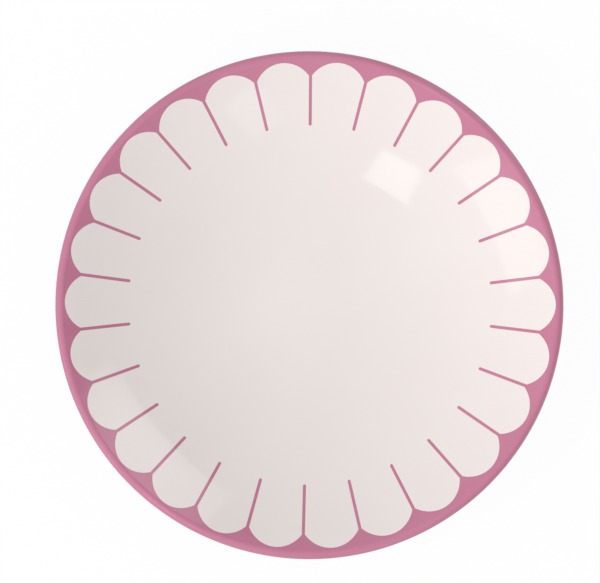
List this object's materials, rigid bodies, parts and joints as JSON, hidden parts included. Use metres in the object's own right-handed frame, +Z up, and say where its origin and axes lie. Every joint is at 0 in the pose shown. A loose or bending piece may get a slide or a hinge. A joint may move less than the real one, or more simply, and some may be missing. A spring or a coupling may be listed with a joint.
{
  "type": "pasta plate",
  "caption": "Round coupe pasta plate of glazed white porcelain on a foot ring, with a pink scalloped border and short radial lines printed into the glaze.",
  "frame": {"origin": "on the table under the middle of the plate", "axes": "+Z up along the plate's axis; +X and +Y lie in the table, with the picture's right along +X and its top along +Y"},
  "size_m": [0.235, 0.235, 0.044],
  "materials": {
    "fired_porcelain": "bare fired porcelain, fine and matt",
    "clear_glaze": "glossy clear glaze over white porcelain",
    "pink_colour": "glossy pink colour sunk into the glaze"
  },
  "bodies": {
    "root": {"porcelain_body": "fired_porcelain", "inside_glaze": "clear_glaze", "outside_glaze": "clear_glaze", "foot_well_glaze": "clear_glaze", "scallop_band": "pink_colour", "petal_lines": "pink_colour"}
  },
  "joints": []
}
